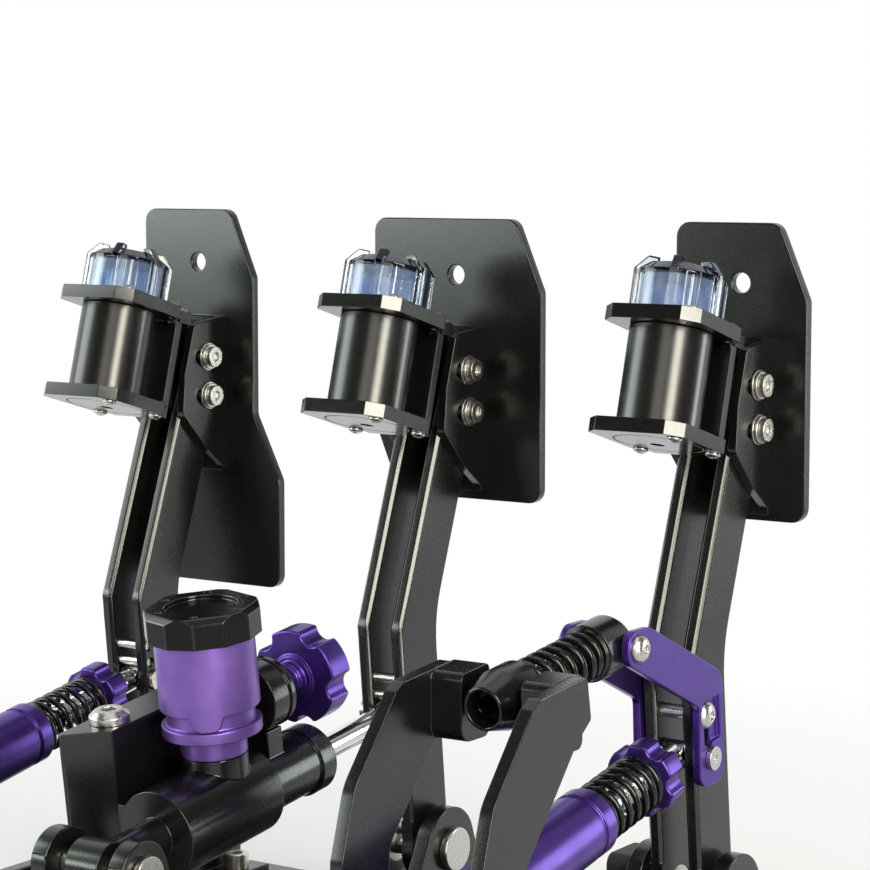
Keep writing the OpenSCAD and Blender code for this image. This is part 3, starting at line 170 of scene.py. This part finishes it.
def hard_chrome():
    """Hard chrome on a ground rod: a clear mirror with faint grinding rings."""
    material, tree, shader, place = blank("hard_chrome")
    rings = grain(tree, place, 0.4 * MM, 1.0, (8, 1, 8))
    tree.links.new(spread_to(tree, rings.outputs["Fac"], 0.05, 0.12), shader.inputs["Roughness"])
    shader.inputs["Base Color"].default_value = srgb("#e4e5e8")
    shader.inputs["Metallic"].default_value = 1.0
    return material


def spring_wire():
    """Spring steel with a black coat: glossy, with slight orange peel."""
    material, tree, shader, place = blank("black_coated_spring_steel")
    peel = grain(tree, place, 0.8 * MM, 1.0)
    tree.links.new(spread_to(tree, peel.outputs["Fac"], 0.14, 0.2), shader.inputs["Roughness"])
    shader.inputs["Base Color"].default_value = srgb("#09090a")
    relief(tree, shader, peel.outputs["Fac"], 0.006 * MM)
    return material


def motor_paint():
    """Baked black paint on a drawn motor can: deep black with long soft highlights."""
    material, tree, shader, place = blank("baked_black_motor_paint")
    dust = grain(tree, place, 1.5 * MM, 2.0)
    tone = ramp(tree, dust.outputs["Fac"], [(0.3, "#0e0e0f"), (0.7, "#131314")])
    tree.links.new(tone, shader.inputs["Base Color"])
    tree.links.new(spread_to(tree, dust.outputs["Fac"], 0.24, 0.27), shader.inputs["Roughness"])
    shader.inputs["IOR"].default_value = 1.65
    relief(tree, shader, dust.outputs["Fac"], 0.0006 * MM)
    return material


def clear_moulding():
    """Clear polycarbonate moulding: see-through, with a cold tint in its thickness."""
    material, tree, shader, place = blank("clear_polycarbonate")
    flow = grain(tree, place, 6 * MM, 1.0, (1, 1, 3))
    tree.links.new(spread_to(tree, flow.outputs["Fac"], 0.02, 0.06), shader.inputs["Roughness"])
    shader.inputs["Base Color"].default_value = srgb("#e6eefc")
    shader.inputs["IOR"].default_value = 1.5
    shader.inputs["Transmission Weight"].default_value = 1.0
    return material


def painted_shade_crown():
    """The cover's thick crown and ribs in an opaque nearly black blue: painted shade where the clear moulding
    shows dark.
    """
    material, tree, shader, place = blank("painted_shade_crown_polycarbonate")
    flow = grain(tree, place, 5 * MM, 1.0)
    tone = ramp(tree, flow.outputs["Fac"], [(0.3, "#0b0f1c"), (0.7, "#121a30")])
    tree.links.new(tone, shader.inputs["Base Color"])
    shader.inputs["Roughness"].default_value = 0.08
    shader.inputs["IOR"].default_value = 1.5
    return material


def tinted_cup():
    """A blue tinted inner cup of thin plastic, partly see-through."""
    material, tree, shader, place = blank("blue_tinted_plastic")
    streak = grain(tree, place, 4 * MM, 1.0, (1, 1, 6))
    tone = ramp(tree, streak.outputs["Fac"], [(0.3, "#86a6cf"), (0.7, "#dbe6f2")])
    tree.links.new(tone, shader.inputs["Base Color"])
    shader.inputs["Roughness"].default_value = 0.12
    shader.inputs["Transmission Weight"].default_value = 0.75
    shader.inputs["IOR"].default_value = 1.35
    return material


def moulded_plastic():
    """Black ABS with a fine spark-eroded texture."""
    material, tree, shader, place = blank("black_abs")
    spark = grain(tree, place, 0.6 * MM, 2.0)
    tone = ramp(tree, spark.outputs["Fac"], [(0.3, "#191919"), (0.7, "#202021")])
    tree.links.new(tone, shader.inputs["Base Color"])
    tree.links.new(spread_to(tree, spark.outputs["Fac"], 0.5, 0.62), shader.inputs["Roughness"])
    relief(tree, shader, spark.outputs["Fac"], 0.04 * MM)
    return material


ANODISED = black_anodised("black_anodised_aluminium", 0.24, 0.012 * MM, 1.62)
MILLED = black_anodised("black_anodised_milled_face", 0.17, 0.004 * MM, 1.7)
CUT = black_anodised("black_anodised_cut_edge", 0.17, 0.003 * MM, 1.55)
POLISHED = black_anodised("black_polished_cap", 0.16, 0.003 * MM, 1.3)
# one violet anodising in two copies: a darker one for knobs, dampers and levers, painted shade, and a paler one
# for the reservoir, painted light
VIOLET = violet_anodised("violet_anodised_aluminium", "#4a2c88", "#553794", 0.34)
PAINTED_LIGHT_VIOLET = violet_anodised("violet_anodised_reservoir_painted_light", "#7d5cb2", "#8a69bd", 0.42)
STEEL = stainless()
CHROME = hard_chrome()
WIRE = spring_wire()
PAINT = motor_paint()
CLEAR = clear_moulding()
PAINTED_SHADE_CROWN = painted_shade_crown()
TINT = tinted_cup()
ABS = moulded_plastic()
FINISH = {"black_anodised": ANODISED, "purple_anodised": VIOLET, "stainless": STEEL, "rod_chrome": CHROME,
          "spring_black": WIRE, "motor_black": PAINT, "clear_cover": CLEAR, "black_plastic": ABS}


# Pieces

def settle(piece, body, slot, *nodes):
    """A finished piece rides on its body and stands for the nodes it replaces; its slot is not used."""
    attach(piece, body)
    if nodes:
        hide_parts(*nodes)
    return piece


def new_object(name, mesh, *materials):
    piece = bpy.data.objects.new(name, mesh)
    bpy.context.scene.collection.objects.link(piece)
    mesh.materials.clear()
    for material in materials:
        mesh.materials.append(material)
    return piece


def applied(piece):
    """The piece with its modifiers made part of a plain mesh."""
    graph = bpy.context.evaluated_depsgraph_get()
    mesh = bpy.data.meshes.new_from_object(piece.evaluated_get(graph))
    piece.modifiers.clear()
    old = piece.data
    piece.data = mesh
    bpy.data.meshes.remove(old)
    return piece


# points this near are one point, and neighbours that turn less than this are one flat face
WELD = 0.002 * MM
FLAT = math.radians(0.4)
# how much of x lies in the normal of a machined slant
SLANT_LOW = 0.4
SLANT_HIGH = 0.92
# share of the eased width past which a point has strayed from the surface
STRAY = 0.7


def eased(node, width, steps=2, corner=32, cut=False):
    """A copy of a node with its edges eased by a real width; cut marks faces at a slant to x as machined."""
    finish = OTHER.get(node, FINISH[slot_of[node]])
    mesh = frame["nodes"][node].data.copy()
    mesh.name = node + "_eased"
    if mesh.has_custom_normals:
        mesh.attributes.remove(mesh.attributes["custom_normal"])
    work = bmesh.new()
    work.from_mesh(mesh)
    bmesh.ops.remove_doubles(work, verts=work.verts, dist=WELD)
    bmesh.ops.dissolve_limit(work, angle_limit=FLAT, verts=work.verts, edges=work.edges)
    for face in work.faces:
        face.smooth = True
        if cut and SLANT_LOW < abs(face.normal.x) < SLANT_HIGH:
            face.material_index = 1
    skin = BVHTree.FromBMesh(work)
    work.to_mesh(mesh)
    work.free()
    black = finish in (ANODISED, MILLED, POLISHED)
    piece = new_object(node + "_finish", mesh, finish, *([CUT] if black else []))
    bevel = piece.modifiers.new("ease", "BEVEL")
    bevel.width = width
    bevel.segments = steps
    bevel.limit_method = "ANGLE"
    bevel.angle_limit = math.radians(corner)
    bevel.use_clamp_overlap = False
    bevel.material = 1 if black else -1
    even = piece.modifiers.new("even", "WEIGHTED_NORMAL")
    even.keep_sharp = True
    applied(piece)
    # a bevel across slivers throws points off the surface, and these go back to it
    for point in piece.data.vertices:
        spot, _, _, off = skin.find_nearest(point.co)
        if off > STRAY * width:
            point.co = spot
    return settle(piece, body_of[node], slot_of[node], node)


# width in mm by which each node's edges are eased
EDGES = {
    "base_plate": 0.55, "throttle_side_plates": 0.5, "brake_side_plates": 0.5, "clutch_side_plates": 0.5,
    "clutch_towers": 0.35, "pivot_axles": 0.6, "cross_pins": 0.5, "base_screws": 0.35, "control_box": 1.2,
    "angle_sensors": 1.0, "throttle_damper": 0.5, "throttle_rod": 0.3, "throttle_knob": 0.9,
    "clutch_damper": 0.5, "clutch_rod": 0.3, "clutch_knob": 0.9, "master_cylinder": 0.4, "piston_rod": 0.3,
    "slave_cylinder": 0.35, "star_knob": 0.8, "reservoir": 0.5, "reservoir_cap": 0.4, "manifold": 0.5,
    "bleed_screw": 0.25, "pressure_sensor": 0.2, "clutch_lever_left": 0.5, "clutch_lever_right": 0.5,
    "assist_tube": 0.5, "assist_plunger": 0.5,
}
for pedal in PEDALS:
    EDGES.update({pedal + "_arm_left": 0.25, pedal + "_arm_right": 0.25, pedal + "_foot_plate": 0.5,
                  pedal + "_plate_bracket": 0.3, pedal + "_fixings": 0.22, pedal + "_motor_bracket": 0.18,
                  pedal + "_motor": 0.5, pedal + "_motor_weight": 0.4})
# nodes whose finish differs from the rest of their slot
OTHER = {pedal + "_motor_bracket": MILLED for pedal in PEDALS}
# the reservoir takes the paler violet copy, painted light on the same anodising
OTHER.update({"reservoir_cap": POLISHED, "reservoir": PAINTED_LIGHT_VIOLET})
for node, width in EDGES.items():
    eased(node, width * MM, corner=26 if node == "reservoir_cap" else 32,
          cut="_arm_" in node or "motor_bracket" in node)


def frame_along(origin, axis, up=Vector((1, 0, 0))):
    """The matrix of a frame at origin whose z runs along axis and whose x is nearest to up."""
    z = axis.normalized()
    x = (up - up.dot(z) * z).normalized()
    turn = Matrix((x, z.cross(x), z)).transposed()
    return Matrix.Translation(origin) @ turn.to_4x4()


def reach(node, origin, axis):
    """Where a node starts and ends along an axis, and how far it stands from it."""
    spots = [v.co - origin for v in frame["nodes"][node].data.vertices]
    heights = [s.dot(axis) for s in spots]
    radius = max((s - h * axis).length for s, h in zip(spots, heights))
    return min(heights), max(heights), radius


# Springs and threads

def wound_tree():
    """Geometry nodes for wire wound round z: sizes are inputs, and its end turns lie closed."""
    tree = bpy.data.node_groups.new("wound_wire", "GeometryNodeTree")
    tree.interface.new_socket("Geometry", in_out="OUTPUT", socket_type="NodeSocketGeometry")
    for name in ("Radius", "Wire", "Turns", "Length", "Closed"):
        tree.interface.new_socket(name, in_out="INPUT", socket_type="NodeSocketFloat")
    tree.interface.new_socket("Finish", in_out="INPUT", socket_type="NodeSocketMaterial")
    sizes = add(tree, "NodeGroupInput").outputs
    points = add(tree, "ShaderNodeMath", {0: sizes["Turns"], 1: 28.0}, operation="MULTIPLY")
    line = add(tree, "GeometryNodeCurvePrimitiveLine")
    path = add(tree, "GeometryNodeResampleCurve", {"Curve": line.outputs[0], "Count": points.outputs[0]})
    along = add(tree, "GeometryNodeSplineParameter").outputs["Factor"]
    turn = add(tree, "ShaderNodeMath", {0: along, 1: sizes["Turns"]}, operation="MULTIPLY")
    angle = add(tree, "ShaderNodeMath", {0: turn.outputs[0], 1: 2 * math.pi}, operation="MULTIPLY")
    side = []
    for kind in ("COSINE", "SINE"):
        wave = add(tree, "ShaderNodeMath", {0: angle.outputs[0]}, operation=kind)
        throw = add(tree, "ShaderNodeMath", {0: wave.outputs[0], 1: sizes["Radius"]}, operation="MULTIPLY")
        side.append(throw.outputs[0])
    # the closed share of each end takes one wire's rise, and the open middle takes the rest
    rest = add(tree, "ShaderNodeMath", {0: 1.0, 1: sizes["Closed"]}, operation="SUBTRACT")
    half = add(tree, "ShaderNodeMath", {0: sizes["Wire"], 1: 0.5}, operation="MULTIPLY")
    near = add(tree, "ShaderNodeMath", {0: sizes["Wire"], 1: 1.1}, operation="MULTIPLY")
    far = add(tree, "ShaderNodeMath", {0: sizes["Length"], 1: near.outputs[0]}, operation="SUBTRACT")
    top = add(tree, "ShaderNodeMath", {0: sizes["Length"], 1: half.outputs[0]}, operation="SUBTRACT")
    first = add(tree, "ShaderNodeMapRange", {"Value": along, "From Min": 0.0, "From Max": sizes["Closed"],
                                             "To Min": half.outputs[0], "To Max": near.outputs[0]})
    middle = add(tree, "ShaderNodeMapRange", {"Value": along, "From Min": sizes["Closed"],
                                              "From Max": rest.outputs[0], "To Min": 0.0, "To Max": 1.0})
    gap = add(tree, "ShaderNodeMath", {0: far.outputs[0], 1: near.outputs[0]}, operation="SUBTRACT")
    rise = add(tree, "ShaderNodeMath", {0: middle.outputs[0], 1: gap.outputs[0]}, operation="MULTIPLY")
    last = add(tree, "ShaderNodeMapRange", {"Value": along, "From Min": rest.outputs[0], "From Max": 1.0,
                                            "To Min": far.outputs[0], "To Max": top.outputs[0]})
    lift = add(tree, "ShaderNodeMath", {0: first.outputs[0], 1: rise.outputs[0]}, operation="ADD")
    tail = add(tree, "ShaderNodeMath", {0: last.outputs[0], 1: far.outputs[0]}, operation="SUBTRACT")
    height = add(tree, "ShaderNodeMath", {0: lift.outputs[0], 1: tail.outputs[0]}, operation="ADD")
    spot = add(tree, "ShaderNodeCombineXYZ", {"X": side[0], "Y": side[1], "Z": height.outputs[0]})
    wound = add(tree, "GeometryNodeSetPosition", {"Geometry": path.outputs[0], "Position": spot.outputs[0]})
    ring = add(tree, "GeometryNodeCurvePrimitiveCircle", {"Resolution": 12, "Radius": half.outputs[0]})
    tube = add(tree, "GeometryNodeCurveToMesh",
               {"Curve": wound.outputs[0], "Profile Curve": ring.outputs[0], "Fill Caps": True})
    soft = add(tree, "GeometryNodeSetShadeSmooth", {"Geometry": tube.outputs[0]})
    real = add(tree, "GeometryNodeRealizeInstances", {"Geometry": soft.outputs[0]})
    done = add(tree, "GeometryNodeSetMaterial", {"Geometry": real.outputs[0], "Material": sizes["Finish"]})
    add(tree, "NodeGroupOutput", {"Geometry": done.outputs[0]})
    return tree


WOUND = wound_tree()


def wound(name, place, finish, **sizes):
    """Wire wound round the z axis of a place, made a plain mesh in the frame."""
    piece = new_object(name, bpy.data.meshes.new(name))
    maker = piece.modifiers.new("wind", "NODES")
    maker.node_group = WOUND
    sockets = {item.name: item.identifier for item in WOUND.interface.items_tree if item.in_out == "INPUT"}
    for size, value in sizes.items():
        maker[sockets[size]] = value
    maker[sockets["Finish"]] = finish
    applied(piece)
    piece.data.transform(place)
    return piece


def strut_axis(rod_joint, body_joint):
    start = joint_at[rod_joint]
    return start, (joint_at[body_joint] - start).normalized()


# each spring with the joints of its rod, its body and its pedal, its turns, its wire in mm, and the share of
# its length that is left at full press
SPRINGS = (
    ("throttle_spring", "throttle_rod_swing", "throttle_damper_swing", "throttle_press", 7, 2.3, 0.61),
    ("clutch_spring", "clutch_rod_swing", "clutch_damper_swing", "clutch_press", 7, 2.3, 0.685),
    ("assist_spring", "assist_plunger_swing", "assist_tube_swing", "clutch_press", 7.5, 2.4, 0.53),
)
for node, rod_joint, body_joint, press, turns, wire, keep in SPRINGS:
    start, axis = strut_axis(rod_joint, body_joint)
    low, high, radius = reach(node, start, axis)
    spring = wound(node + "_wire", frame_along(start + low * axis, axis), WIRE, Radius=radius - wire * MM / 2,
                   Wire=wire * MM, Turns=turns, Length=high - low, Closed=0.85 / turns)
    settle(spring, body_of[node], slot_of[node], node)
    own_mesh(spring)

ROD_RADIUS = 4.4 * MM
THREAD_PITCH = 1.25 * MM
THREAD_RIDGE = 0.9 * MM
THREAD_SUNK = 0.12 * MM
THREAD_INSET = 1.0 * MM
# the rods run up to 13 mm into their dampers, and the thread ends before that
ROD_STROKE = 14 * MM
for pedal in ("throttle", "clutch"):
    start, axis = strut_axis(pedal + "_rod_swing", pedal + "_damper_swing")
    low, high, _ = reach(pedal + "_spring", start, axis)
    length = high - low - THREAD_INSET - ROD_STROKE
    thread = wound(pedal + "_rod_thread", frame_along(start + (low + THREAD_INSET) * axis, axis), CHROME,
                   Radius=ROD_RADIUS - THREAD_SUNK, Wire=THREAD_RIDGE, Turns=length / THREAD_PITCH,
                   Length=length, Closed=0.01)
    settle(thread, body_of[pedal + "_rod"], slot_of[pedal + "_rod"])


# Clear covers over the motors

def lathe(name, place, outline, finish, sides=64):
    """A closed solid turned from an outline of radius and height round the z axis of a place."""
    work = bmesh.new()
    turns = [2 * math.pi * i / sides for i in range(sides)]
    rings = []
    for radius, height in outline:
        rings.append([work.verts.new((radius * math.cos(t), radius * math.sin(t), height)) for t in turns])
    for a, b in zip(rings, rings[1:] + rings[:1]):
        for i in range(sides):
            work.faces.new((a[i], a[(i + 1) % sides], b[(i + 1) % sides], b[i]))
    bmesh.ops.recalc_face_normals(work, faces=work.faces)
    mesh = bpy.data.meshes.new(name)
    work.to_mesh(mesh)
    work.free()
    for face in mesh.polygons:
        face.use_smooth = True
    mesh.set_sharp_from_angle(angle=math.radians(35))
    mesh.transform(place)
    return new_object(name, mesh, finish)


# height at which a cover's clear wall meets its crown of painted shade
COVER_WALL = 13.2 * MM
COVER_EASE = 0.3 * MM
# radius and height in mm along the outline of the tinted cup inside: a thin wall with a rolled rim
CUP = ((12.4, 0.3), (13.0, 0.3), (13.0, 11.0), (12.7, 11.8), (12.1, 12.2), (11.8, 11.8), (12.3, 11.0))
for pedal in PEDALS:
    node = pedal + "_motor_cover"
    turn = pedal + "_weight_turn"
    axis = joint_axis[turn]
    low, _, _ = reach(node, joint_at[turn], axis)
    cover = eased(node, COVER_EASE)
    # faces above the clear wall take the crown's painted shade
    cover.data.materials.append(PAINTED_SHADE_CROWN)
    for face in cover.data.polygons:
        if (face.center - joint_at[turn]).dot(axis) > low + COVER_WALL:
            face.material_index = 1
    # the cover stands a little in front of the weight's axis
    back = axis.cross(Vector((1, 0, 0)))
    spread = [(v.co - joint_at[turn]).dot(back) for v in frame["nodes"][node].data.vertices]
    place = frame_along(joint_at[turn] + low * axis + (min(spread) + max(spread)) / 2 * back, axis)
    cup = lathe(pedal + "_inner_cup", place, [(radius * MM, height * MM) for radius, height in CUP], TINT)
    settle(cup, body_of[node], slot_of[node])


# Stage

VIEW_YAW = math.radians(33.926)
VIEW_PITCH = math.radians(5.91)
BEHIND = Vector((math.sin(VIEW_YAW), -math.cos(VIEW_YAW), 0))
# light of the dim room as metal mirrors it, and as it falls on the set
ROOM_SEEN = 0.04
ROOM_LEVEL = 0.15
# how far a direction has to turn from sideways to behind the set before it meets the white sweep
SWEEP_STARTS = 0.2
SWEEP_FULL = 0.6


def rays(tree):
    """Whether a ray comes from the camera or a clear piece, and whether it comes from a glossy surface."""
    ray = add(tree, "ShaderNodeLightPath").outputs
    direct = add(tree, "ShaderNodeMath", {0: ray["Is Camera Ray"], 1: ray["Is Transmission Ray"]},
                 operation="MAXIMUM")
    return direct.outputs[0], ray["Is Glossy Ray"]


def white_sweep(tree, toward):
    """What metal mirrors in a direction: the white sweep behind the set, or the dim room at the camera."""
    depth = add(tree, "ShaderNodeVectorMath", {0: toward, 1: BEHIND}, operation="DOT_PRODUCT")
    level = add(tree, "ShaderNodeMapRange",
                {"Value": depth.outputs["Value"], "From Min": SWEEP_STARTS, "From Max": SWEEP_FULL,
                 "To Min": ROOM_SEEN, "To Max": 1.0})
    return level.outputs[0]


def pale_floor():
    """A white studio floor that keeps soft shadows near the object and fades to plain white."""
    material, tree, shader, place = blank("white_studio_floor")
    shader.inputs["Base Color"].default_value = srgb("#f2f2f2")
    shader.inputs["Roughness"].default_value = 0.7
    toward = add(tree, "ShaderNodeVectorMath", {0: place}, operation="NORMALIZE")
    direct, glossy = rays(tree)
    length = add(tree, "ShaderNodeVectorMath", {0: place}, operation="LENGTH")
    # metal mirrors the lit patch that the set stands on, which ends about a metre away
    near = add(tree, "ShaderNodeMapRange",
               {"Value": length.outputs["Value"], "From Min": 0.6, "From Max": 1.1,
                "To Min": 0.8, "To Max": 0.0})
    strength = add(tree, "ShaderNodeMath", {0: white_sweep(tree, toward.outputs[0]), 1: near.outputs[0]},
                   operation="MAXIMUM")
    # the camera sees shadows under the set, and plain white further away
    away = add(tree, "ShaderNodeMapRange",
               {"Value": length.outputs["Value"], "From Min": 0.15, "From Max": 0.6,
                "To Min": 0.45, "To Max": 1.0})
    share = add(tree, "ShaderNodeMath", {0: direct, 1: away.outputs[0]}, operation="MULTIPLY")
    plain = add(tree, "ShaderNodeEmission", {"Color": (1, 1, 1, 1), "Strength": 1.0})
    mirrored = add(tree, "ShaderNodeEmission", {"Color": (1, 1, 1, 1), "Strength": strength.outputs[0]})
    lit = add(tree, "ShaderNodeMixShader", {0: share.outputs[0], 1: shader.outputs[0], 2: plain.outputs[0]})
    mix = add(tree, "ShaderNodeMixShader", {0: glossy, 1: lit.outputs[0], 2: mirrored.outputs[0]})
    tree.links.new(mix.outputs[0], tree.nodes["Material Output"].inputs["Surface"])
    return material


floor_mesh = bpy.data.meshes.new("studio_floor")
FLOOR = 12.0
floor_mesh.from_pydata([(-FLOOR, -FLOOR, 0), (FLOOR, -FLOOR, 0), (FLOOR, FLOOR, 0), (-FLOOR, FLOOR, 0)], [],
                       [(0, 1, 2, 3)])
new_object("studio_floor", floor_mesh, pale_floor())

world = bpy.data.worlds.new("studio")
bpy.context.scene.world = world
world.use_nodes = True
sky = world.node_tree
toward = add(sky, "ShaderNodeTexCoord").outputs["Generated"]
direct, glossy = rays(sky)
mirrored = white_sweep(sky, toward)
level = add(sky, "ShaderNodeMapRange", {"Value": glossy, "To Min": ROOM_LEVEL, "To Max": mirrored})
level = add(sky, "ShaderNodeMath", {0: direct, 1: level.outputs[0]}, operation="MAXIMUM")
sky.links.new(level.outputs[0], sky.nodes["Background"].inputs["Strength"])
sky.nodes["Background"].inputs["Color"].default_value = (1, 1, 1, 1)

# the point in the middle of the set that every lamp faces
AIM = Vector((0, -0.03, 0.15))


def softbox(name, turn, rise, away, width, height, watts, tone):
    """An area lamp aimed at the set, turned to the right of the camera's side and raised, both in degrees."""
    yaw = VIEW_YAW + math.radians(turn)
    lift = math.radians(rise)
    side = Vector((-math.sin(yaw) * math.cos(lift), math.cos(yaw) * math.cos(lift), math.sin(lift)))
    lamp = bpy.data.lights.new(name, "AREA")
    lamp.shape = "RECTANGLE"
    lamp.size = width
    lamp.size_y = height
    lamp.energy = watts
    lamp.color = srgb(tone)[:3]
    box = bpy.data.objects.new(name, lamp)
    bpy.context.scene.collection.objects.link(box)
    box.location = AIM + away * side
    box.rotation_euler = (-side).to_track_quat("-Z", "Y").to_euler()


softbox("key_strip", 27, 16, 1.4, 0.42, 1.4, 30, "#fffbea")
softbox("front_fill", -10, 16, 1.5, 0.6, 1.0, 4, "#fffbea")
softbox("low_strip", -75, 8.7, 1.3, 0.5, 0.24, 3, "#f4fff7")
softbox("left_bank", -98, 19, 1.3, 0.65, 0.9, 9, "#f4fff7")
softbox("right_strip", 100, 3, 1.3, 0.26, 0.8, 5, "#f4fff7")
softbox("top_bank", 0, 82, 1.4, 1.4, 1.2, 5, "#ffffff")

PHOTO_PIXELS = 870
FOCAL_PIXELS = 2649.9
CAMERA_AT = (-533.8 * MM, 707.8 * MM, 285.9 * MM)
camera = bpy.data.cameras.new("photo_camera")
camera.sensor_width = 36.0
camera.lens = camera.sensor_width * FOCAL_PIXELS / PHOTO_PIXELS
camera.clip_end = 60
eye = bpy.data.objects.new("photo_camera", camera)
bpy.context.scene.collection.objects.link(eye)
eye.location = CAMERA_AT
sight = Vector((math.sin(VIEW_YAW) * math.cos(VIEW_PITCH), -math.cos(VIEW_YAW) * math.cos(VIEW_PITCH),
                -math.sin(VIEW_PITCH)))
eye.rotation_euler = sight.to_track_quat("-Z", "Y").to_euler()
bpy.context.scene.camera = eye
bpy.context.scene.view_settings.view_transform = "Standard"
